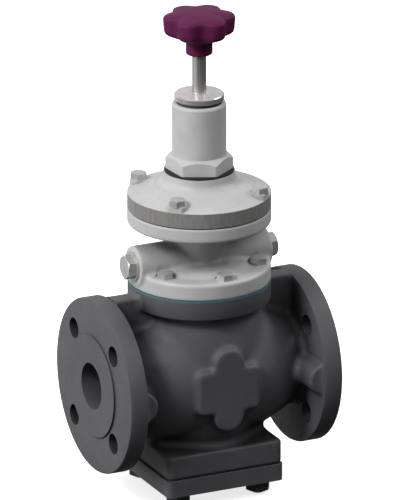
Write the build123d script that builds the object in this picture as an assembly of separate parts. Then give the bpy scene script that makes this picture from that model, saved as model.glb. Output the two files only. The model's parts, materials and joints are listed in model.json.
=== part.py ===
from build123d import *
import math
import os

# Pilot operated pressure reducing valve, DN40, flanged. Millimetres throughout.
# Every height below is counted from the flow axis; save() lifts the finished
# pieces so that z = 0 is the underside of the bottom studs. +X is the outlet.

FLOW_HEIGHT = 103.5

# End flanges, DN40 PN40
FACE_TO_FACE = 200.0
BORE_RADIUS = 20.0
FLANGE_RADIUS = 75.0
FLANGE_THICKNESS = 18.0
RAISED_FACE_RADIUS = 44.0
RAISED_FACE_HEIGHT = 2.0
FLANGE_BOLT_CIRCLE = 55.0
FLANGE_HOLE_RADIUS = 9.0

# Body casting
BARREL_RADIUS = 57.5
GLOBE_RADIUS = 58.6
NECK_RADIUS = 40.5
SEAM_FILLET = 20.0
RING_RADIUS = 60.2
RING_BOTTOM = 64.0
RING_TOP = 80.0
BASE_HALF = 53.0
COVER_HALF = 53.8
BASE_TOP = -55.0
BASE_BOTTOM = -75.0
BASE_CORNER = 5.0
WEB_TOP = 75.0
WEB_HALF_WIDTH = 8.0
PASSAGE_X = 50.0
PASSAGE_RADIUS = 3.0
TAP_BOSS_X = 83.0
TAP_BOSS_RADIUS = 13.0
TAP_BOSS_REACH = 70.0
PAD_FACE = 60.8
PAD_EDGE = 1.5

# Main valve and its seat
DECK_BOTTOM = -6.0
DECK_TOP = 6.0
SEAT_BORE = 16.0
SEAT_THREAD_RADIUS = 22.0
SEAT_FLANGE_RADIUS = 25.0
SEAT_FACE = -9.0
DISC_RADIUS = 19.0
STEM_RADIUS = 5.0
GUIDE_RADIUS = 5.05
BASE_OPENING = 33.0

# Piston and its liner
LINER_RADIUS = 36.0
LINER_BORE = 30.0
LINER_FLANGE_RADIUS = 42.0
LINER_FLANGE_BOTTOM = 76.0
LINER_BOTTOM = 38.0
LINER_FLOOR_TOP = 44.0
PISTON_RADIUS = 29.92
PISTON_BOTTOM = 58.0
PISTON_TOP = 76.0
RING_GROOVE_DEPTH = 2.6
RING_GROOVES = ((62.0, 64.5), (68.5, 71.0))

# Bottom cover
COVER_TOP = -76.0
COVER_BOTTOM = -90.5
STUD_SPACING = 37.0
STUD_RADIUS = 6.0
STUD_TOP = -58.0
STUD_BOTTOM = -FLOW_HEIGHT
NUT_ACROSS_FLATS = 19.0
NUT_BOTTOM = -101.3

# Pilot body
GASKET_TOP = 81.5
PILOT_FLANGE_TOP = 96.0
PILOT_UPPER_BOTTOM = 132.0
PILOT_TOP = 144.8
PILOT_UPPER_RADIUS = 60.5
SIDE_BORE_HEIGHT = 101.0
SIDE_BOSS_RADIUS = 17.0
SIDE_BOSS_END = 61.0
SIDE_THREAD_RADIUS = 8.3
PLUG_ACROSS_FLATS = 19.0
PILOT_BOLT_CIRCLE = 50.0
COVER_BOLT_CIRCLE = 54.0
M8_RADIUS = 4.0
M8_ACROSS_FLATS = 13.0
M8_HEAD_HEIGHT = 5.5

# Pilot valve
CORE_RADIUS = 9.0
PILOT_SEAT_FACE = 108.0
PILOT_STEM_RADIUS = 2.5
PILOT_GUIDE_RADIUS = 2.55

# Diaphragm, spring cover and spring housing
DIAPHRAGM_BOTTOM = 145.3
DIAPHRAGM_TOP = 145.8
DISH_BOTTOM = 143.8
DIAPHRAGM_EDGE = 59.6
RIM_RADIUS = 60.4
RIM_TOP = 158.9
COVER_NECK_RADIUS = 30.0
COVER_NECK_TOP = 177.4
COVER_BOLT_SEAT = 163.3
HOUSING_THREAD_RADIUS = 21.0
HOUSING_BORE = 17.5
HOUSING_HEX_BOTTOM = 179.3
HOUSING_HEX_TOP = 188.6
HOUSING_HEX_FLATS = 50.0
HOUSING_RADIUS = 22.8
HOUSING_TOP = 237.5
HOUSING_TURN = 5.0
CAP_THREAD_RADIUS = 12.0
CAP_RADIUS = 20.9
CAP_BOTTOM = 240.3
CAP_TOP = 246.8

# Springs, spring plates, spindle and knob
PLATE_SEAT = 149.3
UPPER_PLATE_BOTTOM = 205.0
UPPER_PLATE_TOP = 211.0
SPINDLE_RADIUS = 5.9
SPINDLE_NUT_RADIUS = 5.97
SPINDLE_TOP = 303.0
KNOB_HUB_RADIUS = 11.2
KNOB_BOTTOM = 279.7
KNOB_TOP = 316.0
KNOB_TIP_RADIUS = 30.2
KNOB_HOLLOW_RADIUS = 24.5
KNOB_TURN = -18.0
KNOB_EDGE = 1.8


def turned(*outline):
    """Solid of revolution about Z from (radius, height) corners."""
    profile = make_face(Polyline(*outline, close=True))
    return revolve(Plane.XZ * profile, Axis.Z, 360)


def washer(outer, inner, bottom, top):
    """Flat ring about Z."""
    return turned((inner, bottom), (outer, bottom), (outer, top), (inner, top))


def rod(radius, bottom, top, x=0.0, y=0.0):
    """Upright cylinder between two heights."""
    return Pos(x, y, (bottom + top) / 2) * Cylinder(radius, top - bottom)


def rod_along_x(radius, start, end, y=0.0, z=0.0):
    """Cylinder lying along X between two stations."""
    return Pos((start + end) / 2, y, z) * Rot(0, 90, 0) * Cylinder(radius, abs(end - start))


def rod_along_y(radius, start, end, x=0.0, z=0.0):
    """Cylinder lying along Y between two stations."""
    return Pos(x, (start + end) / 2, z) * Rot(90, 0, 0) * Cylinder(radius, abs(end - start))


def hexagon(across_flats, bottom, top, turn=0.0, chamfered_end="top"):
    """Upright hexagon whose corners are turned off at one end."""
    profile = RegularPolygon(across_flats / 2, 6, major_radius=False, rotation=turn)
    prism = Pos(0, 0, bottom) * extrude(profile, top - bottom)
    wide = across_flats * 0.62
    narrow = across_flats * 0.48
    drop = (wide - narrow) * math.tan(math.radians(30))
    if chamfered_end == "top":
        return prism & turned((0, bottom), (wide, bottom), (wide, top - drop), (narrow, top), (0, top))
    return prism & turned((0, bottom), (narrow, bottom), (wide, bottom + drop), (wide, top), (0, top))


def coil_spring(mean_radius, wire_radius, bottom, top, turns):
    """Round-wire compression spring with both ends ground flat."""
    pitch = (top - bottom) / turns
    path = Helix(pitch, top - bottom, mean_radius)
    section = Plane(origin=path @ 0, z_dir=path % 0) * Circle(wire_radius)
    coil = Pos(0, 0, bottom) * sweep(section, path, is_frenet=True)
    return coil & rod(mean_radius + 2 * wire_radius, bottom, top)


def bolt_places(radius, count, first_angle):
    """(x, y) of bolts spread evenly on a circle."""
    angles = [math.radians(first_angle + 360 * i / count) for i in range(count)]
    return [(radius * math.cos(a), radius * math.sin(a)) for a in angles]


def hex_bolt(head_seat, shank_bottom):
    """M8 hexagon bolt on the Z axis."""
    head = hexagon(M8_ACROSS_FLATS, head_seat, head_seat + M8_HEAD_HEIGHT)
    return head + rod(M8_RADIUS, shank_bottom, head_seat)


PILOT_BOLTS = bolt_places(PILOT_BOLT_CIRCLE, 6, 30)
COVER_BOLTS = bolt_places(COVER_BOLT_CIRCLE, 4, 45)
FLANGE_BOLTS = bolt_places(FLANGE_BOLT_CIRCLE, 4, 45)
STUDS = [(x, y) for x in (-STUD_SPACING, STUD_SPACING) for y in (-STUD_SPACING, STUD_SPACING)]


# ---- body casting ----------------------------------------------------------

def barrel():
    """Bulging middle of the casting, up to the ring that carries the pilot body."""
    wall = ThreePointArc((41, BASE_TOP - 1), (BARREL_RADIUS, 4), (50, 57))
    hollow = ThreePointArc((50, 57), (52.5, 61.5), (57, RING_BOTTOM))
    top = Polyline((57, RING_BOTTOM), (RING_RADIUS, RING_BOTTOM), (RING_RADIUS, RING_TOP), (0, RING_TOP))
    axis = Polyline((0, RING_TOP), (0, BASE_TOP - 5), (41, BASE_TOP - 5), (41, BASE_TOP - 1))
    profile = make_face(wall.edges() + hollow.edges() + top.edges() + axis.edges())
    return revolve(Plane.XZ * profile, Axis.Z, 360)


def globe():
    """Bulging flow passage that swells from neck to neck through the barrel."""
    side = Spline(
        (-76, NECK_RADIUS), (-66, 45.5), (-48, 53), (-24, 57.4), (0, GLOBE_RADIUS),
        (24, 57.4), (48, 53), (66, 45.5), (76, NECK_RADIUS),
    )
    ends = Polyline((76, NECK_RADIUS), (76, 0), (-76, 0), (-76, NECK_RADIUS))
    return revolve(make_face(side.edges() + ends.edges()), Axis.X, 360)


def outlet_end():
    """Outlet flange with its raised face and the hollow curve of the neck behind it."""
    face = FACE_TO_FACE / 2
    front = face - RAISED_FACE_HEIGHT
    back = face - FLANGE_THICKNESS
    rim = Polyline(
        (40, 0), (face, 0), (face, RAISED_FACE_RADIUS), (front, RAISED_FACE_RADIUS),
        (front, FLANGE_RADIUS - 1), (front - 1, FLANGE_RADIUS), (back + 1.5, FLANGE_RADIUS),
        (back, FLANGE_RADIUS - 1.5), (back, 46),
    )
    root = ThreePointArc((back, 46), (80, 41.5), (75, NECK_RADIUS + 0.4))
    close = Polyline((75, NECK_RADIUS + 0.4), (70, 36), (40, 36), (40, 0))
    profile = make_face(rim.edges() + root.edges() + close.edges())
    return revolve(profile, Axis.X, 360)


def raised_cross():
    """Flat cross-shaped pad cast on the front of the barrel."""
    level = extrude(RectangleRounded(57, 38, 5), 30)
    upright = extrude(RectangleRounded(26.8, 73, 13.3), 30)
    bars = level + upright
    top_edges = bars.edges().group_by(Axis.Z)[-1]
    return Pos(0, 30 - PAD_FACE, 0) * Rot(90, 0, 0) * fillet(top_edges, PAD_EDGE)


def passage_web():
    """Web that carries the pilot passage from the outlet up to the ring."""
    back = FACE_TO_FACE / 2 - FLANGE_THICKNESS
    height = WEB_TOP - 25
    web = Pos((45 + back + 1) / 2, 0, 25 + height / 2) * Box(back + 1 - 45, 2 * WEB_HALF_WIDTH, height)
    return web + rod(12, 44, RING_BOTTOM + 1, x=PASSAGE_X)


def square_plate(half, bottom, top):
    """Square plate with rounded upright corners."""
    plate = extrude(RectangleRounded(2 * half, 2 * half, BASE_CORNER), top - bottom)
    return Pos(0, 0, bottom) * plate


def blended_middle():
    """Barrel and globe grown together with wide rounded seams, and both flanges."""
    joined = barrel() + globe()
    seams = [edge for edge in joined.edges() if edge.geom_type == GeomType.BSPLINE and abs(edge.center().Z) > 3]
    middle = fillet(seams, SEAM_FILLET)
    outlet = outlet_end()
    return middle + outlet + mirror(outlet, Plane.YZ)


def casting():
    """Outside of the body casting, both ends alike."""
    extras = passage_web() + rod_along_y(TAP_BOSS_RADIUS, -TAP_BOSS_REACH, TAP_BOSS_REACH, x=TAP_BOSS_X)
    pad = raised_cross()
    blank = blended_middle() + square_plate(BASE_HALF, BASE_BOTTOM, BASE_TOP)
    return blank + extras + mirror(extras, Plane.YZ) + pad + mirror(pad, Plane.XZ)


def duct(side):
    """Flow passage from a flange face into its chamber; side is +1 at the outlet."""
    straight = rod_along_x(BORE_RADIUS, side * 62, side * (FACE_TO_FACE / 2 + 1))
    entry = Plane(origin=(side * 62, 0, 0), z_dir=(1, 0, 0)) * Circle(BORE_RADIUS)
    throat = Plane(origin=(side * 38, 0, side * 24), z_dir=(1, 0, 0)) * Circle(14)
    return straight + loft([entry, throat])


def chambers():
    """Inlet chamber under the seat deck and outlet chamber over it."""
    lower = turned(
        (0, BASE_BOTTOM - 1), (BASE_OPENING, BASE_BOTTOM - 1), (BASE_OPENING, -50),
        (42, -40), (42, -18), (36, DECK_BOTTOM), (0, DECK_BOTTOM),
    )
    upper = turned(
        (0, DECK_TOP), (36, DECK_TOP), (43, 16), (43, 36), (LINER_RADIUS, 43.5),
        (LINER_RADIUS, LINER_FLANGE_BOTTOM), (LINER_FLANGE_RADIUS, LINER_FLANGE_BOTTOM),
        (LINER_FLANGE_RADIUS, RING_TOP + 1), (0, RING_TOP + 1),
    )
    return lower + upper + rod(SEAT_THREAD_RADIUS, DECK_BOTTOM - 1, DECK_TOP + 1)


def flange_drillings():
    """Bolt holes through both end flanges."""
    back = FACE_TO_FACE / 2 - FLANGE_THICKNESS
    return [
        rod_along_x(FLANGE_HOLE_RADIUS, side * (back - 1), side * 101, y, z)
        for side in (-1, 1)
        for y, z in FLANGE_BOLTS
    ]


def body():
    """Cast body, machined."""
    blank = casting() - chambers() - duct(-1) - duct(1)
    for hole in flange_drillings():
        blank -= hole
    for side in (-1, 1):
        blank -= rod(PASSAGE_RADIUS, 10, RING_TOP + 1, x=side * PASSAGE_X)
    for x, y in PILOT_BOLTS:
        blank -= rod(M8_RADIUS, RING_BOTTOM, RING_TOP + 1, x, y)
    for x, y in STUDS:
        blank -= rod(STUD_RADIUS, BASE_BOTTOM - 1, STUD_TOP, x, y)
    return blank


# ---- main valve ------------------------------------------------------------

def main_seat_ring():
    """Seat screwed into the deck from below."""
    return turned(
        (SEAT_BORE, SEAT_FACE), (SEAT_FLANGE_RADIUS, SEAT_FACE), (SEAT_FLANGE_RADIUS, DECK_BOTTOM),
        (SEAT_THREAD_RADIUS, DECK_BOTTOM), (SEAT_THREAD_RADIUS, DECK_TOP), (SEAT_BORE + 1, DECK_TOP),
        (SEAT_BORE, DECK_TOP - 1),
    )


def main_valve():
    """Disc that closes upwards on the seat, with guide stems above and below."""
    return turned(
        (0, -60), (STEM_RADIUS - 1, -60), (STEM_RADIUS, -59), (STEM_RADIUS, -24), (9, -20),
        (9, -17), (DISC_RADIUS - 1, -17), (DISC_RADIUS, -16), (DISC_RADIUS, SEAT_FACE),
        (12, SEAT_FACE), (STEM_RADIUS, -1), (STEM_RADIUS, 70), (0, 70),
    )


def main_valve_spring():
    """Spring that holds the main valve on its seat."""
    return coil_spring(12.5, 1.3, COVER_TOP + 6, -17, 7)


def bottom_cover():
    """Square cover with a locating spigot and the lower stem guide."""
    plate = square_plate(COVER_HALF, COVER_BOTTOM, COVER_TOP)
    boss = turned((0, COVER_TOP - 1), (32.8, COVER_TOP - 1), (32.8, COVER_TOP + 6), (9.5, COVER_TOP + 6),
                  (9.5, -46), (0, -46))
    cover = plate + boss - rod(GUIDE_RADIUS, -80, -45)
    for x, y in STUDS:
        cover -= rod(STUD_RADIUS + 0.5, COVER_BOTTOM - 1, COVER_TOP + 1, x, y)
    return cover


def bottom_gasket():
    """Joint under the body, a little smaller than the two castings."""
    sheet = square_plate(BASE_HALF - 1.2, COVER_TOP, BASE_BOTTOM)
    sheet -= rod(BASE_OPENING, COVER_TOP - 1, BASE_BOTTOM + 1)
    for x, y in STUDS:
        sheet -= rod(STUD_RADIUS + 0.5, COVER_TOP - 1, BASE_BOTTOM + 1, x, y)
    return sheet


def bottom_studs():
    """Four studs set in the body's square flange."""
    stud = turned((0, STUD_BOTTOM), (STUD_RADIUS - 1, STUD_BOTTOM), (STUD_RADIUS, STUD_BOTTOM + 1),
                  (STUD_RADIUS, STUD_TOP), (0, STUD_TOP))
    return Compound([Pos(x, y, 0) * stud for x, y in STUDS])


def bottom_nuts():
    """Nuts on the studs."""
    nut = hexagon(NUT_ACROSS_FLATS, NUT_BOTTOM, COVER_BOTTOM, chamfered_end="bottom")
    nut -= rod(STUD_RADIUS, NUT_BOTTOM - 1, COVER_BOTTOM + 1)
    return Compound([Pos(x, y, 0) * nut for x, y in STUDS])


def piston_liner():
    """Cup that the piston slides in; its floor guides the main stem."""
    cup = turned(
        (GUIDE_RADIUS, 30), (11, 30), (11, LINER_BOTTOM), (LINER_RADIUS, LINER_BOTTOM),
        (LINER_RADIUS, LINER_FLANGE_BOTTOM), (LINER_FLANGE_RADIUS, LINER_FLANGE_BOTTOM),
        (LINER_FLANGE_RADIUS, RING_TOP), (LINER_BORE, RING_TOP), (LINER_BORE, LINER_FLOOR_TOP),
        (GUIDE_RADIUS, LINER_FLOOR_TOP),
    )
    for x, y in bolt_places(20, 4, 45):
        cup -= rod(3, LINER_BOTTOM - 1, LINER_FLOOR_TOP + 1, x, y)
    return cup


def piston():
    """Piston that pushes the main valve open."""
    blank = turned(
        (STEM_RADIUS, PISTON_BOTTOM), (12, PISTON_BOTTOM), (12, 62), (25, 62), (25, PISTON_BOTTOM),
        (PISTON_RADIUS, PISTON_BOTTOM), (PISTON_RADIUS, PISTON_TOP - 1), (PISTON_RADIUS - 1, PISTON_TOP),
        (0, PISTON_TOP), (0, 70), (STEM_RADIUS, 70),
    )
    for bottom, top in RING_GROOVES:
        blank -= washer(PISTON_RADIUS + 1, PISTON_RADIUS - RING_GROOVE_DEPTH, bottom, top)
    return blank


def piston_rings():
    """Two rings in the piston's grooves."""
    rings = [washer(LINER_BORE - 0.03, PISTON_RADIUS - RING_GROOVE_DEPTH, low, high) for low, high in RING_GROOVES]
    return Compound(rings)


# ---- pilot -----------------------------------------------------------------

def body_gasket():
    """Coloured joint between the body and the pilot body."""
    joint = washer(RING_RADIUS + 0.2, 38, RING_TOP, GASKET_TOP)
    for x, y in PILOT_BOLTS + [(-PASSAGE_X, 0), (PASSAGE_X, 0)]:
        joint -= rod(M8_RADIUS + 0.3, RING_TOP - 1, GASKET_TOP + 1, x, y)
    return joint


def pilot_casting():
    """Pilot body before drilling: two flanges, a flaring neck and two side bosses."""
    low = PILOT_FLANGE_TOP
    high = PILOT_UPPER_BOTTOM
    flanges = turned(
        (0, GASKET_TOP), (RING_RADIUS, GASKET_TOP), (RING_RADIUS, low - 1.5), (RING_RADIUS - 1.5, low),
        (24, low), (20, low + 5), (21.5, 112), (25, 125), (31, high), (PILOT_UPPER_RADIUS - 1.5, high),
        (PILOT_UPPER_RADIUS, high + 1.5), (PILOT_UPPER_RADIUS, PILOT_TOP), (0, PILOT_TOP),
    )
    boss = rod_along_x(SIDE_BOSS_RADIUS, -SIDE_BOSS_END, SIDE_BOSS_END, z=SIDE_BORE_HEIGHT)
    above_joint = rod(80, GASKET_TOP, PILOT_TOP)
    return flanges + (boss & above_joint)


def pilot_body():
    """Pilot body with its core bore, side bores and passages."""
    blank = pilot_casting()
    blank -= rod(CORE_RADIUS, GASKET_TOP - 1, PILOT_TOP + 1)
    blank -= turned((0, 134), (12, 134), (12, 138.5), (40, 138.5), (40, PILOT_TOP + 1), (0, PILOT_TOP + 1))
    blank -= washer(11, CORE_RADIUS - 1, 114, 118)
    for side in (-1, 1):
        blank -= rod_along_x(SIDE_THREAD_RADIUS, side * 20, side * (SIDE_BOSS_END + 1), z=SIDE_BORE_HEIGHT)
        blank -= rod(PASSAGE_RADIUS, GASKET_TOP - 1, SIDE_BORE_HEIGHT, x=side * PASSAGE_X)
    blank -= rod_along_x(4, -21, -8, z=SIDE_BORE_HEIGHT)
    blank -= rod_along_x(2.5, 16, 21, z=SIDE_BORE_HEIGHT)
    blank -= rod(2, SIDE_BORE_HEIGHT, 139, x=16)
    blank -= rod_along_y(1.7, 10, 16, z=116)
    blank -= rod(2, GASKET_TOP - 1, 116, y=16)
    for x, y in PILOT_BOLTS:
        blank -= rod(M8_RADIUS + 0.3, GASKET_TOP - 1, PILOT_FLANGE_TOP + 1, x, y)
    for x, y in COVER_BOLTS:
        blank -= rod(M8_RADIUS, 134, PILOT_TOP + 1, x, y)
    return blank


def pilot_body_bolts():
    """Six bolts that hold the pilot body on the ring."""
    bolt = hex_bolt(PILOT_FLANGE_TOP, RING_BOTTOM + 2)
    return Compound([Pos(x, y, 0) * bolt for x, y in PILOT_BOLTS])


def side_plug(side):
    """Hexagon plug in a side boss; side is +1 towards the outlet."""
    head = hexagon(PLUG_ACROSS_FLATS, SIDE_BOSS_END + 1.5, SIDE_BOSS_END + 8.5)
    plug = head + rod(SIDE_THREAD_RADIUS, SIDE_BOSS_END - 8, SIDE_BOSS_END + 1.5)
    return Pos(0, 0, SIDE_BORE_HEIGHT) * Rot(0, side * 90, 0) * plug


def side_plug_washers():
    """Sealing washers under both plugs."""
    ring = washer(12.5, SIDE_THREAD_RADIUS, SIDE_BOSS_END, SIDE_BOSS_END + 1.5)
    return Compound([Pos(0, 0, SIDE_BORE_HEIGHT) * Rot(0, side * 90, 0) * ring for side in (-1, 1)])


def pilot_screen():
    """Strainer tube in the inlet-side bore."""
    tube = rod_along_x(6, -46, -20, z=SIDE_BORE_HEIGHT) - rod_along_x(5.2, -47, -19, z=SIDE_BORE_HEIGHT)
    for x in (-42, -36, -30, -24):
        tube -= rod(1.2, SIDE_BORE_HEIGHT - 8, SIDE_BORE_HEIGHT + 8, x=x)
        tube -= rod_along_y(1.2, -8, 8, x=x, z=SIDE_BORE_HEIGHT)
    return tube


def pilot_seat():
    """Seat bush of the pilot valve, which also guides its stem."""
    bush = turned(
        (PILOT_GUIDE_RADIUS, PILOT_SEAT_FACE + 10), (4.2, PILOT_SEAT_FACE + 10), (4.2, PILOT_SEAT_FACE),
        (CORE_RADIUS, PILOT_SEAT_FACE), (CORE_RADIUS, 134), (12, 134), (12, 138), (PILOT_GUIDE_RADIUS, 138),
    )
    bush -= rod_along_x(1.5, -10, 10, z=116)
    bush -= rod_along_y(1.5, -10, 10, z=116)
    return bush


def pilot_valve():
    """Pilot valve: a cone that closes upwards, on a stem that reaches the diaphragm."""
    return turned(
        (0, 95), (2.2, 95), (2.2, 101), (6, 101), (6, PILOT_SEAT_FACE - 1.8), (3.9, PILOT_SEAT_FACE + 0.3),
        (PILOT_STEM_RADIUS, 110), (PILOT_STEM_RADIUS, DISH_BOTTOM), (0, DISH_BOTTOM),
    )


def pilot_valve_spring():
    """Spring that closes the pilot valve."""
    return coil_spring(4.2, 0.6, 92, 101, 4)


def pilot_retainer():
    """Screwed plug under the pilot valve that its spring stands on."""
    plug = turned((0, 83), (CORE_RADIUS, 83), (CORE_RADIUS, 92), (2.25, 92), (2.25, 88), (0, 88))
    return plug - hexagon(8, 82, 86)


# ---- diaphragm and adjusting gear ------------------------------------------

def diaphragm_gasket():
    """Thin joint ring under the diaphragm's edge."""
    ring = washer(DIAPHRAGM_EDGE, 42, PILOT_TOP, DIAPHRAGM_BOTTOM)
    for x, y in COVER_BOLTS:
        ring -= rod(M8_RADIUS + 0.3, PILOT_TOP - 1, DIAPHRAGM_BOTTOM + 1, x, y)
    return ring


def diaphragm():
    """Metal diaphragm, flat at its clamped edge and dished in the middle."""
    sheet = turned(
        (0, DISH_BOTTOM), (24, DISH_BOTTOM), (36, DIAPHRAGM_BOTTOM), (DIAPHRAGM_EDGE, DIAPHRAGM_BOTTOM),
        (DIAPHRAGM_EDGE, DIAPHRAGM_TOP), (35.5, DIAPHRAGM_TOP), (23.5, DISH_BOTTOM + 0.5),
        (0, DISH_BOTTOM + 0.5),
    )
    for x, y in COVER_BOLTS:
        sheet -= rod(M8_RADIUS + 0.3, DISH_BOTTOM, DIAPHRAGM_TOP + 1, x, y)
    return sheet


def lower_spring_plate():
    """Plate between the diaphragm and the adjusting spring."""
    return turned((0, DISH_BOTTOM + 0.5), (21, DISH_BOTTOM + 0.5), (21, PLATE_SEAT), (10.8, PLATE_SEAT),
                  (10.8, PLATE_SEAT + 5), (9.8, PLATE_SEAT + 6), (0, PLATE_SEAT + 6))


def spring_cover():
    """Round cover over the diaphragm with the neck that takes the spring housing."""
    neck = ThreePointArc((38, 166.5), (32.4, 169.2), (COVER_NECK_RADIUS + 0.4, 174))
    shell = Polyline(
        (COVER_NECK_RADIUS + 0.4, 174), (COVER_NECK_RADIUS, COVER_NECK_TOP),
        (HOUSING_THREAD_RADIUS, COVER_NECK_TOP), (HOUSING_THREAD_RADIUS, 158), (26, 155),
        (26, DIAPHRAGM_TOP), (RIM_RADIUS, DIAPHRAGM_TOP), (RIM_RADIUS, RIM_TOP - 0.6),
        (RIM_RADIUS - 1, RIM_TOP), (38, 166.5),
    )
    cover = revolve(Plane.XZ * make_face(neck.edges() + shell.edges()), Axis.Z, 360)
    for x, y in COVER_BOLTS:
        cover += rod(8.2, 150, COVER_BOLT_SEAT, x, y) & rod(RIM_RADIUS - 0.4, 149, COVER_BOLT_SEAT)
        cover -= rod(8.2, COVER_BOLT_SEAT, 180, x, y)
        cover -= rod(M8_RADIUS + 0.3, DIAPHRAGM_TOP - 1, COVER_BOLT_SEAT + 1, x, y)
    return cover


def cover_bolts():
    """Four bolts through the spring cover and the diaphragm."""
    bolt = hex_bolt(COVER_BOLT_SEAT, 135)
    return Compound([Pos(x, y, 0) * bolt for x, y in COVER_BOLTS])


def housing_gasket():
    """Dark ring between the cover's neck and the spring housing."""
    return washer(COVER_NECK_RADIUS - 0.8, HOUSING_THREAD_RADIUS, COVER_NECK_TOP, HOUSING_HEX_BOTTOM)


def spring_housing():
    """Turned housing with a hexagon foot; the adjusting spring works inside it."""
    foot = Pos(0, 0, HOUSING_HEX_BOTTOM) * extrude(
        RegularPolygon(HOUSING_HEX_FLATS / 2, 6, major_radius=False, rotation=HOUSING_TURN - 90),
        HOUSING_HEX_TOP + 4 - HOUSING_HEX_BOTTOM,
    )
    foot &= turned((0, 179), (28.4, 179), (28.4, 188.2), (HOUSING_RADIUS, 192.5), (0, 192.5))
    barrel_part = turned(
        (0, 162), (HOUSING_THREAD_RADIUS, 162), (HOUSING_THREAD_RADIUS, HOUSING_HEX_BOTTOM + 1),
        (HOUSING_RADIUS, HOUSING_HEX_BOTTOM + 1), (HOUSING_RADIUS, HOUSING_TOP - 2),
        (HOUSING_RADIUS - 0.6, HOUSING_TOP - 0.6), (HOUSING_RADIUS - 2, HOUSING_TOP), (0, HOUSING_TOP),
    )
    hollow = turned((0, 161), (HOUSING_BORE, 161), (HOUSING_BORE, 226), (CAP_THREAD_RADIUS, 226),
                    (CAP_THREAD_RADIUS, HOUSING_TOP + 1), (0, HOUSING_TOP + 1))
    return foot + barrel_part - hollow


def adjusting_spring():
    """Spring whose load sets the outlet pressure."""
    return coil_spring(13.5, 2.0, PLATE_SEAT, UPPER_PLATE_BOTTOM, 7)


def upper_spring_plate():
    """Plate that the spindle pushes on."""
    return turned((0, UPPER_PLATE_BOTTOM - 5), (9.8, UPPER_PLATE_BOTTOM - 5), (10.8, UPPER_PLATE_BOTTOM - 4),
                  (10.8, UPPER_PLATE_BOTTOM), (16.5, UPPER_PLATE_BOTTOM), (16.5, UPPER_PLATE_TOP - 1),
                  (15.5, UPPER_PLATE_TOP), (0, UPPER_PLATE_TOP))


def cap_seal():
    """Dark ring in the groove under the top cap."""
    return washer(19.3, CAP_THREAD_RADIUS, HOUSING_TOP, CAP_BOTTOM)


def top_cap():
    """Polished cap screwed into the housing; its bore is the spindle's nut."""
    return turned(
        (SPINDLE_NUT_RADIUS, 226), (CAP_THREAD_RADIUS, 226), (CAP_THREAD_RADIUS, CAP_BOTTOM),
        (CAP_RADIUS, CAP_BOTTOM), (CAP_RADIUS, CAP_TOP - 2.4), (CAP_RADIUS - 0.8, CAP_TOP - 1.6),
        (10, CAP_TOP), (SPINDLE_NUT_RADIUS, CAP_TOP),
    )


def adjusting_spindle():
    """Threaded spindle between the knob and the upper spring plate."""
    blank = turned((0, UPPER_PLATE_TOP), (4.2, UPPER_PLATE_TOP), (SPINDLE_RADIUS, UPPER_PLATE_TOP + 2),
                   (SPINDLE_RADIUS, SPINDLE_TOP), (0, SPINDLE_TOP))
    return blank - rod(3, SPINDLE_TOP - 15, SPINDLE_TOP + 1)


def lobed_outline():
    """Plan of the knob: six wide lobes with smooth hollows between them."""
    corners = []
    for lobe in range(6):
        middle = 60 * lobe + KNOB_TURN
        for swing, radius in ((-12, 28.8), (0, KNOB_TIP_RADIUS), (12, 28.8), (30, KNOB_HOLLOW_RADIUS)):
            angle = math.radians(middle + swing)
            corners.append((radius * math.cos(angle), radius * math.sin(angle)))
    return make_face(Spline(*corners, periodic=True))


def knob():
    """Six-lobed hand knob with a round hub."""
    star = Pos(0, 0, KNOB_BOTTOM + 8) * extrude(lobed_outline(), KNOB_TOP - KNOB_BOTTOM - 6)
    brim = KNOB_TIP_RADIUS + 0.5
    dome = ThreePointArc((brim, KNOB_TOP - 2.8), (20, KNOB_TOP - 1.0), (0, KNOB_TOP))
    under = Polyline((0, KNOB_TOP), (0, 290), (12, 291.5), (brim, 299.5), (brim, KNOB_TOP - 2.8))
    envelope = revolve(Plane.XZ * make_face(dome.edges() + under.edges()), Axis.Z, 360)
    head = star & envelope
    sides = [edge for edge in head.edges() if edge.center().Z > 296 or edge.length > 100]
    head = fillet(sides, KNOB_EDGE)
    hub = turned((0, KNOB_BOTTOM), (KNOB_HUB_RADIUS - 2, KNOB_BOTTOM), (KNOB_HUB_RADIUS, KNOB_BOTTOM + 1.6),
                 (KNOB_HUB_RADIUS, 300), (0, 300))
    hollow = turned((0, KNOB_BOTTOM - 1), (8, KNOB_BOTTOM - 1), (8, SPINDLE_TOP), (3.3, SPINDLE_TOP),
                    (3.3, SPINDLE_TOP + 3), (9, SPINDLE_TOP + 3), (9, KNOB_TOP + 1), (0, KNOB_TOP + 1))
    return head + hub - hollow


def knob_insert():
    """Metal bush moulded into the knob's hub."""
    return washer(8, SPINDLE_RADIUS, KNOB_BOTTOM + 0.5, SPINDLE_TOP)


def knob_screw():
    """Screw that holds the knob on the spindle."""
    seat = SPINDLE_TOP + 3
    head = rod(5, seat, seat + 4) - hexagon(4, seat + 2, seat + 5)
    return head + rod(3, SPINDLE_TOP - 12, seat)


def knob_cap():
    """Cap over the screw, flush with the knob's crown."""
    return turned((0, 311), (9, 311), (9, KNOB_TOP - 0.3), (8, KNOB_TOP + 0.2), (0, KNOB_TOP + 0.5))


def save(name, shape):
    """Write one piece, lifted from the flow axis to the part's own frame."""
    export_step(Pos(0, 0, FLOW_HEIGHT) * shape, f"parts/{name}.step")


os.makedirs("parts", exist_ok=True)

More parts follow.
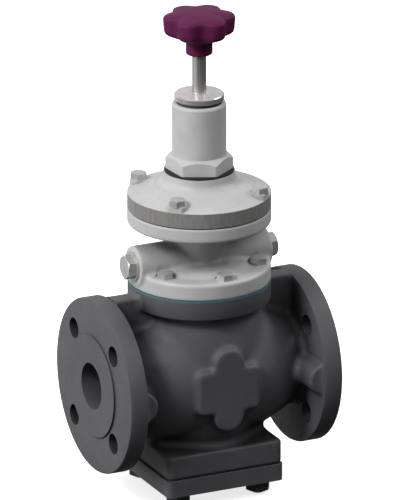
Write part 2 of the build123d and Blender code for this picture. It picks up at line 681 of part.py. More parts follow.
save("body", body())
save("main_seat_ring", main_seat_ring())
save("main_valve", main_valve())
save("main_valve_spring", main_valve_spring())
save("bottom_cover", bottom_cover())
save("bottom_gasket", bottom_gasket())
save("bottom_studs", bottom_studs())
save("bottom_nuts", bottom_nuts())
save("piston_liner", piston_liner())
save("piston", piston())
save("piston_rings", piston_rings())
save("body_gasket", body_gasket())
save("pilot_body", pilot_body())
save("pilot_body_bolts", pilot_body_bolts())
save("inlet_side_plug", side_plug(-1))
save("outlet_side_plug", side_plug(1))
save("side_plug_washers", side_plug_washers())
save("pilot_screen", pilot_screen())
save("pilot_seat", pilot_seat())
save("pilot_valve", pilot_valve())
save("pilot_valve_spring", pilot_valve_spring())
save("pilot_retainer", pilot_retainer())
save("diaphragm_gasket", diaphragm_gasket())
save("diaphragm", diaphragm())
save("lower_spring_plate", lower_spring_plate())
save("spring_cover", spring_cover())
save("cover_bolts", cover_bolts())
save("housing_gasket", housing_gasket())
save("spring_housing", spring_housing())
save("adjusting_spring", adjusting_spring())
save("upper_spring_plate", upper_spring_plate())
save("cap_seal", cap_seal())
save("top_cap", top_cap())
save("adjusting_spindle", adjusting_spindle())
save("knob", knob())
save("knob_insert", knob_insert())
save("knob_screw", knob_screw())
save("knob_cap", knob_cap())
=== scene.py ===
import json
import math

import bmesh
import bpy
from mathutils import Matrix, Vector


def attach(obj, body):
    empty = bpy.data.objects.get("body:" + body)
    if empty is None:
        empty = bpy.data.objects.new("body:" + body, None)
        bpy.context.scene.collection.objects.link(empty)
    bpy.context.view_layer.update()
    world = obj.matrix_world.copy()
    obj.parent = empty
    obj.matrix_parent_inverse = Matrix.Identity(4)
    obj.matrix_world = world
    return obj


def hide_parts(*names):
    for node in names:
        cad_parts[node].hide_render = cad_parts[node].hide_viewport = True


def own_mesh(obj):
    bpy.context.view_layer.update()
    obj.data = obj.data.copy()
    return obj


# Looks for the pressure reducing valve, in the frame of the CAD part. Metres, except in the sections
# that make meshes: there radii, stations and heights are millimetres counted from the flow axis.

MM = 0.001
FLOW_HEIGHT = 0.1035

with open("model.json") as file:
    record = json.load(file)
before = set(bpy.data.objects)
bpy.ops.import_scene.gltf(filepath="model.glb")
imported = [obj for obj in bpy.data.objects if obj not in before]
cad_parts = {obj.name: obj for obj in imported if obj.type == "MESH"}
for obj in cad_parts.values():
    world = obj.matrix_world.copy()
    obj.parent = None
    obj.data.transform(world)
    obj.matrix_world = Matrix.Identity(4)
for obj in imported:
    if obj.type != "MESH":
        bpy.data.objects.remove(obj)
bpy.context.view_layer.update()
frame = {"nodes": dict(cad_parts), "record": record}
nodes = frame["nodes"]


# ---- camera ----------------------------------------------------------------

CAMERA_AZIMUTH = -25.4
CAMERA_ELEVATION = 19.6
CAMERA_DISTANCE = 8.0
CAMERA_RISE = 0.0998
CAMERA_SIDE = 0.0007
CAMERA_LENS = 683.7


def make_camera():
    """Long lens, at the height and angle of the studio picture."""
    azimuth = math.radians(CAMERA_AZIMUTH)
    elevation = math.radians(CAMERA_ELEVATION)
    right = Vector((math.cos(azimuth), math.sin(azimuth), 0))
    back = Vector((
        math.sin(azimuth) * math.cos(elevation),
        -math.cos(azimuth) * math.cos(elevation),
        math.sin(elevation),
    ))
    up = back.cross(right)
    data = bpy.data.cameras.new("camera")
    data.lens = CAMERA_LENS
    data.sensor_width = 36
    data.clip_start = 0.1
    data.clip_end = 40
    camera = bpy.data.objects.new("camera", data)
    bpy.context.scene.collection.objects.link(camera)
    aim = Vector((0, 0, FLOW_HEIGHT)) + CAMERA_SIDE * right + CAMERA_RISE * up
    turn = Matrix((right, up, back)).transposed().to_4x4()
    camera.matrix_world = Matrix.Translation(aim + CAMERA_DISTANCE * back) @ turn
    bpy.context.scene.camera = camera


# ---- materials -------------------------------------------------------------

# Reach of the painted shade that darkens recesses, in metres.
PAINTED_SHADE_REACH = 0.035
RIM_BARE_BEYOND = 0.0602
RIM_DARK = (0.23, 0.225, 0.215)
RIM_LIGHT = (0.32, 0.315, 0.3)


def material(name):
    """New material with its shader; returns the tree's parts that the recipes use."""
    mat = bpy.data.materials.new(name)
    mat.use_nodes = True
    tree = mat.node_tree
    shader = tree.nodes["Principled BSDF"]
    coords = tree.nodes.new("ShaderNodeTexCoord")
    return mat, tree, shader, coords.outputs["Object"]


def noise(tree, coords, scale, detail=3.0, roughness=0.55):
    """Noise value; scale is in features per metre."""
    node = tree.nodes.new("ShaderNodeTexNoise")
    node.inputs["Scale"].default_value = scale
    node.inputs["Detail"].default_value = detail
    node.inputs["Roughness"].default_value = roughness
    tree.links.new(coords, node.inputs["Vector"])
    return node.outputs["Fac"]


def ramp(tree, value, low, high, to_low, to_high):
    """Value taken from one range to another, clamped."""
    node = tree.nodes.new("ShaderNodeMapRange")
    node.inputs["From Min"].default_value = low
    node.inputs["From Max"].default_value = high
    node.inputs["To Min"].default_value = to_low
    node.inputs["To Max"].default_value = to_high
    tree.links.new(value, node.inputs["Value"])
    return node.outputs["Result"]


def blend_colours(tree, factor, first, second):
    """Mix of two colours, each a socket or an (r, g, b); factor is a socket, 0 for the first."""
    node = tree.nodes.new("ShaderNodeMix")
    node.data_type = "RGBA"
    tree.links.new(factor, node.inputs["Factor"])
    for name, colour in (("A", first), ("B", second)):
        socket = [i for i in node.inputs if i.name == name and i.type == "RGBA"][0]
        if isinstance(colour, tuple):
            socket.default_value = (*colour, 1)
        else:
            tree.links.new(colour, socket)
    return [o for o in node.outputs if o.type == "RGBA"][0]


def stretched(tree, coords, factors):
    """Coordinates multiplied axis by axis."""
    node = tree.nodes.new("ShaderNodeVectorMath")
    node.operation = "MULTIPLY"
    node.inputs[1].default_value = factors
    tree.links.new(coords, node.inputs[0])
    return node.outputs["Vector"]


def bump(tree, shader, height, distance):
    """Small relief; distance is in metres."""
    node = tree.nodes.new("ShaderNodeBump")
    node.inputs["Strength"].default_value = 1.0
    node.inputs["Distance"].default_value = distance
    tree.links.new(height, node.inputs["Height"])
    tree.links.new(node.outputs["Normal"], shader.inputs["Normal"])


def painted_recess_shade(tree, reach, low, high):
    """Painted shade from ambient occlusion: 0 deep in a piece's own corners and recesses, 1 in the open;
    reach is in metres.
    """
    node = tree.nodes.new("ShaderNodeAmbientOcclusion")
    node.samples = 8
    node.only_local = True
    node.inputs["Distance"].default_value = reach
    return ramp(tree, node.outputs["AO"], low, high, 0.0, 1.0)


def bare_rim(tree, coords, paint, radius):
    """Paint out to a radius about Z, and grained turned metal beyond it."""
    across = tree.nodes.new("ShaderNodeVectorMath")
    across.operation = "LENGTH"
    tree.links.new(stretched(tree, coords, (1, 1, 0)), across.inputs[0])
    bare = ramp(tree, across.outputs["Value"], radius - 0.0001, radius, 0.0, 1.0)
    upright = stretched(tree, coords, (1, 1, 0.15))
    grain = ramp(tree, noise(tree, upright, 420, 5, 0.65), 0.3, 0.7, 0.0, 1.0)
    metal = blend_colours(tree, grain, RIM_DARK, RIM_LIGHT)
    return blend_colours(tree, bare, paint, metal)


def cast_paint(name, colour, dark, light, rough, relief, bare_beyond=None, painted_shade_share=0.5):
    """Satin paint on a casting: mottling, orange peel, small scuffs, and painted shade darkening its
    recesses.

    The rim beyond a radius may be left bare; the last argument sets the painted shade, the share of the
    colour left deep in a recess.
    """
    mat, tree, shader, coords = material(name)
    mottle = ramp(tree, noise(tree, coords, 45, 4), 0.35, 0.65, 0.0, 1.0)
    base = blend_colours(tree, mottle, dark, colour)
    scuffs = ramp(tree, noise(tree, coords, 330, 6, 0.7), 0.66, 0.74, 0.0, 0.6)
    scuffed = blend_colours(tree, scuffs, base, light)
    # Painted shade: ambient occlusion darkens the paint towards this colour in the piece's own corners and
    # recesses.
    painted_shade_colour = tuple(painted_shade_share * part for part in dark)
    paint = blend_colours(tree, painted_recess_shade(tree, PAINTED_SHADE_REACH, 0.3, 0.85), painted_shade_colour, scuffed)
    rough_value = ramp(tree, noise(tree, coords, 220, 3), 0.3, 0.7, rough - 0.05, rough + 0.06)
    if bare_beyond is not None:
        paint = bare_rim(tree, coords, paint, bare_beyond)
    tree.links.new(paint, shader.inputs["Base Color"])
    tree.links.new(rough_value, shader.inputs["Roughness"])
    shader.inputs["Specular IOR Level"].default_value = 0.35
    bump(tree, shader, noise(tree, coords, 900, 4, 0.6), relief)
    return mat


def turned_metal(name, colour, dark, rough, relief=0.00002, metallic=1.0):
    """Lathe-turned metal: fine rings about Z and slight stains."""
    mat, tree, shader, coords = material(name)
    split = tree.nodes.new("ShaderNodeSeparateXYZ")
    tree.links.new(coords, split.inputs["Vector"])
    join = tree.nodes.new("ShaderNodeCombineXYZ")
    tree.links.new(split.outputs["Z"], join.inputs["Z"])
    rings = noise(tree, join.outputs["Vector"], 2600, 2)
    stain = ramp(tree, noise(tree, coords, 90, 4), 0.35, 0.7, 0.0, 1.0)
    tree.links.new(blend_colours(tree, stain, colour, dark), shader.inputs["Base Color"])
    shader.inputs["Metallic"].default_value = metallic
    tree.links.new(ramp(tree, rings, 0.3, 0.7, rough - 0.06, rough + 0.08), shader.inputs["Roughness"])
    bump(tree, shader, rings, relief)
    return mat


def plain_metal(name, colour, dark, rough, metallic=1.0):
    """Plated, drawn or thinly coated steel with fine grain."""
    mat, tree, shader, coords = material(name)
    grain = ramp(tree, noise(tree, coords, 160, 5), 0.35, 0.7, 0.0, 1.0)
    tree.links.new(blend_colours(tree, grain, colour, dark), shader.inputs["Base Color"])
    shader.inputs["Metallic"].default_value = metallic
    tree.links.new(ramp(tree, noise(tree, coords, 700, 3), 0.3, 0.7, rough - 0.05, rough + 0.08),
                   shader.inputs["Roughness"])
    bump(tree, shader, noise(tree, coords, 1800, 3), 0.00001)
    return mat


def sheet_joint(name, colour, dark, rough):
    """Pressed fibre or graphite sheet."""
    mat, tree, shader, coords = material(name)
    fibres = ramp(tree, noise(tree, coords, 600, 5, 0.7), 0.35, 0.65, 0.0, 1.0)
    tree.links.new(blend_colours(tree, fibres, dark, colour), shader.inputs["Base Color"])
    shader.inputs["Roughness"].default_value = rough
    bump(tree, shader, noise(tree, coords, 1500, 4), 0.00005)
    return mat


def moulded_plastic(name, colour, dark, rough):
    """Moulded plastic with a faint grain."""
    mat, tree, shader, coords = material(name)
    cloud = ramp(tree, noise(tree, coords, 70, 3), 0.35, 0.65, 0.0, 1.0)
    tree.links.new(blend_colours(tree, cloud, dark, colour), shader.inputs["Base Color"])
    tree.links.new(ramp(tree, noise(tree, coords, 500, 3), 0.3, 0.7, rough - 0.04, rough + 0.06),
                   shader.inputs["Roughness"])
    shader.inputs["Specular IOR Level"].default_value = 0.15
    bump(tree, shader, noise(tree, coords, 1400, 3), 0.00002)
    return mat


MATERIALS = {
    # Each cast paint darkens its recesses with painted shade, the body's most.
    "body_paint": cast_paint(
        "body_paint", (0.122, 0.121, 0.133), (0.108, 0.107, 0.118), (0.15, 0.149, 0.162), 0.56, 0.00022,
        painted_shade_share=0.16),
    "pilot_paint": cast_paint(
        "pilot_paint", (0.60, 0.605, 0.60), (0.55, 0.555, 0.55), (0.66, 0.665, 0.66), 0.42, 0.0001),
    "cover_paint": cast_paint(
        "cover_paint", (0.60, 0.605, 0.60), (0.55, 0.555, 0.55), (0.66, 0.665, 0.66), 0.42, 0.0001,
        bare_beyond=RIM_BARE_BEYOND),
    "painted_bolt": plain_metal("painted_bolt", (0.56, 0.565, 0.56), (0.44, 0.445, 0.44), 0.34, 0.35),
    "plug_steel": plain_metal("plug_steel", (0.66, 0.66, 0.65), (0.54, 0.54, 0.53), 0.4, 0.55),
    "stainless": turned_metal("stainless", (0.58, 0.57, 0.56), (0.46, 0.46, 0.45), 0.28),
    "spring_steel": plain_metal("spring_steel", (0.32, 0.33, 0.35), (0.22, 0.23, 0.25), 0.32),
    "spindle_steel": turned_metal("spindle_steel", (0.62, 0.615, 0.61), (0.52, 0.515, 0.51), 0.48),
    # The pink cast in the polished steel's colour is a painted reflection of the purple knob.
    "polished_steel": turned_metal(
        "polished_steel", (0.74, 0.69, 0.69), (0.66, 0.62, 0.62), 0.3, relief=0.000008, metallic=0.7),
    "bronze": turned_metal("bronze", (0.56, 0.38, 0.17), (0.44, 0.28, 0.12), 0.3),
    "dark_fastener": cast_paint(
        "dark_fastener", (0.075, 0.075, 0.083), (0.06, 0.06, 0.067), (0.11, 0.11, 0.12), 0.45, 0.00006),
    "dark_joint": sheet_joint("dark_joint", (0.02, 0.02, 0.022), (0.012, 0.012, 0.013), 0.7),
    "teal_joint": sheet_joint("teal_joint", (0.085, 0.21, 0.25), (0.065, 0.165, 0.2), 0.6),
    "black_rubber": sheet_joint("black_rubber", (0.05, 0.046, 0.043), (0.036, 0.033, 0.031), 0.55),
    "purple_plastic": moulded_plastic("purple_plastic", (0.135, 0.016, 0.076), (0.112, 0.012, 0.063), 0.55),
}


def dress(obj, slot):
    """Give a piece the material of a record slot."""
    obj.data.materials.clear()
    obj.data.materials.append(MATERIALS[slot])


def dress_nodes():
    """Every CAD node takes the material its record entry names."""
    for entry in frame["record"]["subparts"]:
        dress(nodes[entry["node"]], entry["material_slot"])


# ---- mesh helpers ----------------------------------------------------------

def place(x, y, z):
    """Point in the part's frame from millimetres counted from the flow axis."""
    return Vector((x * MM, y * MM, z * MM + FLOW_HEIGHT))


def new_piece(name, bm):
    """Object made from a finished bmesh, with its faces turned outwards."""
    bmesh.ops.recalc_face_normals(bm, faces=bm.faces)
    mesh = bpy.data.meshes.new(name)
    bm.to_mesh(mesh)
    bm.free()
    piece = bpy.data.objects.new(name, mesh)
    bpy.context.scene.collection.objects.link(piece)
    return piece


def skin_rings(bm, rings, closed):
    """Faces between neighbouring rings of vertices; a ring of one vertex is a pole."""
    pairs = list(zip(rings, rings[1:]))
    if closed:
        pairs.append((rings[-1], rings[0]))
    for low, high in pairs:
        count = max(len(low), len(high))
        for i in range(count):
            j = (i + 1) % count
            corners = [low[i % len(low)], low[j % len(low)], high[j % len(high)], high[i % len(high)]]
            bm.faces.new(list(dict.fromkeys(corners)))


def turned(name, outline, axis="Z", centre=(0, 0), segments=96):
    """Solid of revolution from (radius, station) corners, about Z or X through centre."""
    bm = bmesh.new()
    rings = []
    for radius, station in outline:
        count = segments if radius > 0 else 1
        ring = []
        for i in range(count):
            turn = 2 * math.pi * i / count
            a = centre[0] + radius * math.cos(turn)
            b = centre[1] + radius * math.sin(turn)
            spot = (station, a, b) if axis == "X" else (a, b, station)
            ring.append(bm.verts.new(place(*spot)))
        rings.append(ring)
    skin_rings(bm, rings, outline[0][0] > 0)
    return new_piece(name, bm)


def rod(radius, start, end, axis="Z", centre=(0, 0), segments=64):
    """Plain round tool or filler."""
    low, high = sorted((start, end))
    return turned("rod", [(0, low), (radius, low), (radius, high), (0, high)], axis, centre, segments)


def settle(piece):
    """Turn a piece's modifiers into its mesh."""
    graph = bpy.context.evaluated_depsgraph_get()
    mesh = bpy.data.meshes.new_from_object(piece.evaluated_get(graph))
    old = piece.data
    piece.modifiers.clear()
    piece.data = mesh
    bpy.data.meshes.remove(old)


def joined(name, pieces):
    """One object holding the meshes of several, which are used up."""
    bm = bmesh.new()
    for piece in pieces:
        bm.from_mesh(piece.data)
        mesh = piece.data
        bpy.data.objects.remove(piece)
        bpy.data.meshes.remove(mesh)
    return new_piece(name, bm)


def carve(piece, tools, operation="DIFFERENCE"):
    """Boolean with a list of tools that don't touch each other, which are used up."""
    tool = joined("tool", tools)
    step = piece.modifiers.new("carve", "BOOLEAN")
    step.operation = operation
    step.solver = "MANIFOLD"
    step.object = tool
    settle(piece)
    bpy.data.objects.remove(tool)


def shade(piece, angle=32):
    """Smooth shading that keeps edges sharper than the angle."""
    piece.data.shade_smooth()
    piece.data.set_sharp_from_angle(angle=math.radians(angle))


def add_skin(piece, voxel):
    """Even, closed remesh of everything in a piece."""
    skin = piece.modifiers.new("skin", "REMESH")
    skin.mode = "VOXEL"
    skin.voxel_size = voxel * MM


def as_cast(name, node, fillers, voxel, swell, rounds):
    """Rough casting of a CAD node: holes filled, inner corners filleted, outer ones softened.

    swell sets the fillets' size, and rounds how far the outer corners are softened.
    """
    source = nodes[node].copy()
    source.data = nodes[node].data.copy()
    bpy.context.scene.collection.objects.link(source)
    rough = joined(name, [source] + fillers)
    for amount in (swell, -swell):
        add_skin(rough, voxel)
        push = rough.modifiers.new("push", "DISPLACE")
        push.strength = amount * MM
        push.mid_level = 0
    add_skin(rough, voxel)
    soften = rough.modifiers.new("soften", "SMOOTH")
    soften.factor = 0.5
    soften.iterations = rounds
    settle(rough)
    return rough


def around(radius, count, first):
    """(x, y) of points spread evenly on a circle."""
    angles = [math.radians(first + 360 * i / count) for i in range(count)]
    return [(radius * math.cos(a), radius * math.sin(a)) for a in angles]


# ---- body casting ----------------------------------------------------------

BORE_RADIUS = 20
FLANGE_RADIUS = 75
FLANGE_BACK = 82
FLANGE_FACE = 100
RAISED_FACE_RADIUS = 44
RAISED_FACE_HEIGHT = 2
FLANGE_HOLE_RADIUS = 9
RING_RADIUS = 60.25
RING_BOTTOM = 64
RING_TOP = 80
BASE_BOTTOM = -75
BASE_OPENING = 33
DECK_TOP = 6
DECK_BOTTOM = -6
SEAT_THREAD_RADIUS = 22
LINER_RADIUS = 36
LINER_FLANGE_RADIUS = 42
LINER_FLANGE_BOTTOM = 76
M8_RADIUS = 4
STUD_RADIUS = 6
STUD_TOP = -58
PASSAGE_RADIUS = 3
PASSAGE_X = 50
FINE_SEGMENTS = 192

FLANGE_HOLES = around(55, 4, 45)
RING_HOLES = around(50, 6, 30)
COVER_HOLES = around(54, 4, 45)
STUD_HOLES = [(x, y) for x in (-37, 37) for y in (-37, 37)]
PASSAGES = [(-PASSAGE_X, 0), (PASSAGE_X, 0)]


def body_fillers():
    """Rough plugs for every opening, so that the casting starts solid; they stay inside its faces."""
    top = RING_TOP - 0.5
    bottom = BASE_BOTTOM + 0.5
    plugs = [rod(LINER_FLANGE_RADIUS + 2, 55, top), rod(BASE_OPENING + 2, bottom, -60)]
    for side in (-1, 1):
        plugs.append(rod(BORE_RADIUS + 2, side * 70, side * (FLANGE_FACE - 3), "X"))
        start = side * (FLANGE_BACK + 0.5)
        end = side * (FLANGE_FACE - 2.5)
        plugs += [rod(FLANGE_HOLE_RADIUS + 1.5, start, end, "X", hole) for hole in FLANGE_HOLES]
    for hole in RING_HOLES + PASSAGES:
        plugs.append(rod(M8_RADIUS + 2, RING_BOTTOM - 1, top, centre=hole))
    for hole in STUD_HOLES:
        plugs.append(rod(STUD_RADIUS + 1, bottom, STUD_TOP + 2, centre=hole))
    return plugs


def flange_disc(side):
    """Machined end flange with its raised face and eased edges; side is +1 at the outlet."""
    front = FLANGE_FACE - RAISED_FACE_HEIGHT
    outline = [
        (0, FLANGE_BACK - 0.3), (FLANGE_RADIUS - 1.6, FLANGE_BACK - 0.3),
        (FLANGE_RADIUS - 0.5, FLANGE_BACK + 0.1), (FLANGE_RADIUS, FLANGE_BACK + 1.2),
        (FLANGE_RADIUS, front - 1.2), (FLANGE_RADIUS - 0.4, front - 0.3), (FLANGE_RADIUS - 1.2, front),
        (RAISED_FACE_RADIUS + 0.3, front), (RAISED_FACE_RADIUS, front + 0.3),
        (RAISED_FACE_RADIUS, FLANGE_FACE - 0.3), (RAISED_FACE_RADIUS - 0.3, FLANGE_FACE), (0, FLANGE_FACE),
    ]
    return turned("flange", [(radius, side * x) for radius, x in outline], "X", segments=FINE_SEGMENTS)


def ring_disc():
    """Turned ring under the body gasket, with eased edges."""
    outline = [
        (0, RING_BOTTOM - 0.2), (57.8, RING_BOTTOM - 0.2), (59.5, RING_BOTTOM + 0.4),
        (RING_RADIUS, RING_BOTTOM + 1.8), (RING_RADIUS, RING_TOP - 0.5), (RING_RADIUS - 0.45, RING_TOP),
        (0, RING_TOP),
    ]
    return turned("ring", outline, segments=FINE_SEGMENTS)


def cast_region():
    """Where the rough casting is kept: between the flanges, and a little into them near the axis."""
    rim = FLANGE_BACK - 0.1
    hub = FLANGE_BACK + 2
    outline = [(0, -hub), (70, -hub), (70, -rim), (160, -rim), (160, rim), (70, rim), (70, hub), (0, hub)]
    return turned("kept", outline, "X")


def body_drillings():
    """Flange bores, bolt holes, stud holes and the two passages; each reaches past its face."""
    above = RING_TOP + 1
    drills = []
    for side in (-1, 1):
        start = side * (FLANGE_BACK - 3)
        end = side * (FLANGE_FACE + 1)
        drills.append(rod(BORE_RADIUS, side * 62, end, "X", segments=128))
        drills += [rod(FLANGE_HOLE_RADIUS, start, end, "X", hole) for hole in FLANGE_HOLES]
    drills += [rod(M8_RADIUS, RING_BOTTOM + 0.2, above, centre=hole) for hole in RING_HOLES]
    drills += [rod(PASSAGE_RADIUS, 10, above, centre=hole) for hole in PASSAGES]
    drills += [rod(STUD_RADIUS, BASE_BOTTOM - 1, STUD_TOP, centre=hole) for hole in STUD_HOLES]
    return drills


def chambers():
    """Hollows below and above the deck that holds the main seat."""
    opening = BASE_BOTTOM - 1
    above = RING_TOP + 1
    lower = [
        (0, opening), (BASE_OPENING, opening), (BASE_OPENING, -50), (42, -40), (42, -18),
        (36, DECK_BOTTOM), (0, DECK_BOTTOM),
    ]
    upper = [
        (0, DECK_TOP), (36, DECK_TOP), (43, 16), (43, 36), (LINER_RADIUS, 43.5),
        (LINER_RADIUS, LINER_FLANGE_BOTTOM), (LINER_FLANGE_RADIUS, LINER_FLANGE_BOTTOM),
        (LINER_FLANGE_RADIUS, above), (0, above),
    ]
    return [turned("lower", lower), turned("upper", upper)]


def throat(side):
    """Slanting passage from the flange bore to the chamber; side is +1 at the outlet."""
    corners = [(0, 62.5, 0), (BORE_RADIUS, 62.5, 0), (14, 37.5, 24.5), (0, 37.5, 24.5)]
    bm = bmesh.new()
    rings = []
    for radius, x, z in corners:
        count = 64 if radius else 1
        ring = []
        for i in range(count):
            turn = 2 * math.pi * i / count
            spot = place(side * x, radius * math.cos(turn), side * z + radius * math.sin(turn))
            ring.append(bm.verts.new(spot))
        rings.append(ring)
    skin_rings(bm, rings, False)
    return new_piece("throat", bm)


def make_body():
    """Casting with machined flanges, ring, chambers and drillings."""
    piece = as_cast("body_casting", "body", body_fillers(), voxel=1.0, swell=3.5, rounds=8)
    carve(piece, [cast_region()], "INTERSECT")
    # The rough ring and flanges give way to turned ones.
    carve(piece, [rod(RING_RADIUS - 0.15, RING_BOTTOM + 0.1, RING_TOP + 5, segments=FINE_SEGMENTS)])
    carve(piece, [flange_disc(-1), flange_disc(1)], "UNION")
    carve(piece, [ring_disc()], "UNION")
    carve(piece, body_drillings())
    carve(piece, chambers())
    carve(piece, [rod(SEAT_THREAD_RADIUS, DECK_BOTTOM - 1, DECK_TOP + 1), throat(-1), throat(1)])
    shade(piece)
    dress(piece, "body_paint")
    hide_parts("body")
    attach(piece, "valve_body")


# ---- pilot body ------------------------------------------------------------

PILOT_BOTTOM = 81.5
PILOT_FLANGE_TOP = 96
PILOT_TOP = 144.8
CORE_RADIUS = 9
BOWL_RADIUS = 40
BOWL_FLOOR = 138.5
SIDE_BORE_HEIGHT = 101
SIDE_AXIS = (0, SIDE_BORE_HEIGHT)
SIDE_BOSS_END = 61
SIDE_THREAD_RADIUS = 8.3
BOLT_POCKET_RADIUS = 8.6


def pilot_fillers():
    """Rough plugs for the pilot body's bores and holes, and the flare at the foot of its neck."""
    low = PILOT_BOTTOM + 0.7
    high = PILOT_TOP - 0.6
    flare = [(0, 84), (46.5, 84), (46.5, PILOT_FLANGE_TOP), (38, 98.8), (27, 100), (0, 100)]
    plugs = [rod(13, low, 144), rod(BOWL_RADIUS + 1, 137, high), turned("flare", flare)]
    for side in (-1, 1):
        plugs.append(rod(10, side * 6, side * (SIDE_BOSS_END - 0.6), "X", SIDE_AXIS))
        plugs.append(rod(5, low, 100, centre=(side * PASSAGE_X, 0)))
    plugs.append(rod(4, low, 117, centre=(0, 16)))
    plugs += [rod(M8_RADIUS + 2, low, PILOT_FLANGE_TOP - 0.6, centre=hole) for hole in RING_HOLES]
    plugs += [rod(M8_RADIUS + 2, 133, high, centre=hole) for hole in COVER_HOLES]
    return plugs


def make_pilot_body():
    """Pilot casting with machined joint faces, core bore, side bores and bolt pockets."""
    piece = as_cast("pilot_casting", "pilot_body", pilot_fillers(), voxel=0.8, swell=3.0, rounds=6)
    low = PILOT_BOTTOM + 0.1
    high = PILOT_TOP - 0.1
    carve(piece, [turned("kept", [(0, low), (90, low), (90, high), (0, high)])], "INTERSECT")
    end = SIDE_BOSS_END - 0.1
    kept = [(0, -end), (120, -end), (120, end), (0, end)]
    carve(piece, [turned("kept", kept, "X", SIDE_AXIS)], "INTERSECT")
    below = PILOT_BOTTOM - 0.5
    above = PILOT_TOP + 0.2
    core = [
        (0, below), (CORE_RADIUS, below), (CORE_RADIUS, 114), (11, 114), (11, 118), (CORE_RADIUS, 118),
        (CORE_RADIUS, 134), (12, 134), (12, BOWL_FLOOR), (BOWL_RADIUS, BOWL_FLOOR), (BOWL_RADIUS, above),
        (0, above),
    ]
    drills = [turned("core", core)]
    drills += [rod(M8_RADIUS + 0.3, below, PILOT_FLANGE_TOP + 1, centre=hole) for hole in RING_HOLES]
    drills += [rod(M8_RADIUS, 134, above, centre=hole) for hole in COVER_HOLES]
    for side in (-1, 1):
        drills.append(rod(SIDE_THREAD_RADIUS, side * 20, side * (SIDE_BOSS_END + 1), "X", SIDE_AXIS))
    carve(piece, drills)
    carve(piece, [rod(BOLT_POCKET_RADIUS, PILOT_FLANGE_TOP, 112, centre=hole) for hole in RING_HOLES])
    carve(piece, [rod(PASSAGE_RADIUS, below, SIDE_BORE_HEIGHT, centre=spot) for spot in PASSAGES])
    carve(piece, [rod(4, -21, -8, "X", SIDE_AXIS), rod(2.5, 8, 21, "X", SIDE_AXIS)])
    shade(piece)
    dress(piece, "pilot_paint")
    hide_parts("pilot_body")
    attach(piece, "valve_body")


# ---- hand knob -------------------------------------------------------------

KNOB_LOBES = 6
KNOB_TURN = -18.0
KNOB_TIP = 30.2
KNOB_HOLLOW = 24.5
KNOB_BOTTOM = 279.7
KNOB_SEGMENTS = 180
SPINDLE_TOP = 303
SCREW_SEAT = 306


def spline_value(before, start, end, after, t):
    """Value between start and end, t of the way along a curve that passes through all four."""
    slope = end - before
    bend = 2 * before - 5 * start + 4 * end - after
    twist = 3 * start - before - 3 * end + after
    return 0.5 * (2 * start + slope * t + bend * t ** 2 + twist * t ** 3)


def smooth_path(points, steps):
    """Points on a smooth curve through the given ones."""
    path = []
    for i in range(len(points) - 1):
        before = points[max(i - 1, 0)]
        after = points[min(i + 2, len(points) - 1)]
        for step in range(steps):
            spans = zip(before, points[i], points[i + 1], after)
            path.append(tuple(spline_value(*span, step / steps) for span in spans))
    path.append(points[-1])
    return path


def lobe_radius(turn):
    """Radius of the knob's outline at an angle in radians."""
    wave = 0.5 + 0.5 * math.cos(KNOB_LOBES * (turn - math.radians(KNOB_TURN)))
    return KNOB_HOLLOW + (KNOB_TIP - KNOB_HOLLOW) * (1 - (1 - wave) ** 1.5)


def make_knob():
    """Six-lobed moulded knob with a domed crown and a round hub."""
    # Each ring is (share of the outline's radius, how far it follows the lobes, height).
    outside = [
        (0.37, 0.0, KNOB_BOTTOM), (0.402, 0.0, 280.4), (0.41, 0.0, 281.8), (0.41, 0.0, 288.5),
        (0.44, 0.05, 291.2), (0.62, 0.6, 293.6), (0.84, 0.95, 296.4), (0.94, 1.0, 298.4),
        (0.975, 1.0, 300.8), (0.99, 1.0, 305.5), (1.0, 1.0, 310.2), (0.99, 1.0, 311.9),
        (0.955, 1.0, 313.2), (0.89, 0.97, 314.1), (0.77, 0.85, 314.9), (0.6, 0.6, 315.5),
        (0.44, 0.25, 316.0), (0.325, 0.0, 316.2),
    ]
    # Recess for the screw's head and the cap, the screw's hole, and the bush's pocket, from the top down.
    inside = [(9, SCREW_SEAT), (3.3, SCREW_SEAT), (3.3, SPINDLE_TOP), (8, SPINDLE_TOP), (8, KNOB_BOTTOM)]
    mean = (KNOB_TIP + KNOB_HOLLOW) / 2
    bm = bmesh.new()
    rings = []
    turns = [2 * math.pi * i / KNOB_SEGMENTS for i in range(KNOB_SEGMENTS)]
    for share, follow, height in smooth_path(outside, 4):
        ring = []
        for turn in turns:
            radius = share * (mean + follow * (lobe_radius(turn) - mean))
            ring.append(bm.verts.new(place(radius * math.cos(turn), radius * math.sin(turn), height)))
        rings.append(ring)
    for radius, height in inside:
        rings.append([
            bm.verts.new(place(radius * math.cos(turn), radius * math.sin(turn), height)) for turn in turns
        ])
    skin_rings(bm, rings, True)
    piece = new_piece("star_knob", bm)
    shade(piece, 45)
    dress(piece, "purple_plastic")
    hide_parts("knob")
    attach(piece, "hand_spindle")


def make_knob_cap():
    """Slightly crowned cap that closes the knob's crown."""
    crown = [(0, 311), (8.8, 311), (8.85, 316.19), (6, 316.34), (3, 316.46), (0, 316.5)]
    cap = turned("star_knob_cap", crown)
    shade(cap, 45)
    dress(cap, "purple_plastic")
    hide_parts("knob_cap")
    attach(cap, "hand_spindle")


# ---- springs ---------------------------------------------------------------

# Node, joint, height of the end that stays put, travel, material slot and body.
SPRINGS = (
    ("main_valve_spring", "main_valve_lift", 0.0335, 0.009, "spring_steel", "valve_body"),
    ("pilot_valve_spring", "pilot_lift", 0.1955, 0.0008, "spring_steel", "valve_body"),
    ("adjusting_spring", "spindle_feed", 0.2528, 0.021, "spring_steel", "valve_body"),
)


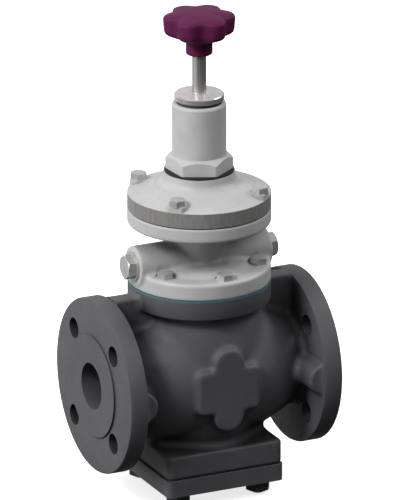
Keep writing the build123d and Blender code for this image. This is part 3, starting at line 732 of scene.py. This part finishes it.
def make_springs():
    """Copies of the springs in place of the CAD ones, shaded, dressed and fixed to their bodies."""
    for node, joint, fixed_end, travel, slot, body in SPRINGS:
        piece = nodes[node].copy()
        piece.data = nodes[node].data.copy()
        piece.name = node + "_coil"
        piece.parent = None
        bpy.context.scene.collection.objects.link(piece)
        shade(piece)
        dress(piece, slot)
        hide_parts(node)
        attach(piece, body)
        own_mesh(piece)


# ---- stage -----------------------------------------------------------------

FLOOR_SIZE = 60
FLOOR_HEIGHT = -0.0002
LIGHT_AIM = (0, 0, 0.2)

# Name, position, side in metres and power in watts.
LIGHTS = (
    ("key", (-2.5, -0.8, 2.5), 1.0, 72),
    ("side", (-2.9, 0.3, 0.55), 0.9, 22),
    ("front", (0.5, -2.2, 2.4), 0.9, 10),
    ("right", (2.3, -0.2, 1.9), 0.9, 22),
)


def make_floor():
    """Wide white floor just under the studs; it throws no light back up at the valve."""
    bpy.ops.mesh.primitive_plane_add(size=FLOOR_SIZE, location=(0, 0, FLOOR_HEIGHT))
    floor = bpy.context.object
    floor.name = "floor"
    mat, tree, shader, coords = material("floor_white")
    mottle = ramp(tree, noise(tree, coords, 3, 2), 0.3, 0.7, 0.0, 1.0)
    white = blend_colours(tree, mottle, (0.94, 0.94, 0.94), (0.96, 0.96, 0.96))
    tree.links.new(white, shader.inputs["Base Color"])
    shader.inputs["Roughness"].default_value = 0.95
    shader.inputs["Specular IOR Level"].default_value = 0.0
    shader.inputs["Emission Color"].default_value = (1, 1, 1, 1)
    shader.inputs["Emission Strength"].default_value = 0.75
    floor.data.materials.append(mat)
    floor.visible_diffuse = False
    floor.visible_glossy = False
    floor.visible_shadow = False


def area_light(name, position, size, power):
    """Square white softbox pointed at the valve."""
    data = bpy.data.lights.new(name, "AREA")
    data.shape = "SQUARE"
    data.size = size
    data.energy = power
    lamp = bpy.data.objects.new(name, data)
    bpy.context.scene.collection.objects.link(lamp)
    lamp.location = position
    lamp.rotation_euler = (Vector(LIGHT_AIM) - Vector(position)).to_track_quat("-Z", "Y").to_euler()


def make_world():
    """Soft surround: bright overhead and on the backdrop, dim from below and in front."""
    world = bpy.data.worlds.new("studio")
    world.use_nodes = True
    tree = world.node_tree
    background = tree.nodes["Background"]
    background.inputs["Color"].default_value = (1, 1, 1, 1)
    coords = tree.nodes.new("ShaderNodeTexCoord")
    split = tree.nodes.new("ShaderNodeSeparateXYZ")
    tree.links.new(coords.outputs["Generated"], split.inputs["Vector"])
    add = tree.nodes.new("ShaderNodeMath")
    add.operation = "ADD"
    tree.links.new(ramp(tree, split.outputs["Z"], -0.1, 0.9, 0.035, 0.42), add.inputs[0])
    tree.links.new(ramp(tree, split.outputs["Y"], 0.45, 0.9, 0.0, 0.6), add.inputs[1])
    tree.links.new(add.outputs["Value"], background.inputs["Strength"])
    bpy.context.scene.world = world


dress_nodes()
make_body()
make_pilot_body()
make_knob()
make_knob_cap()
make_springs()
make_floor()
make_world()
for light in LIGHTS:
    area_light(*light)
make_camera()
bpy.context.scene.view_settings.view_transform = "Standard"
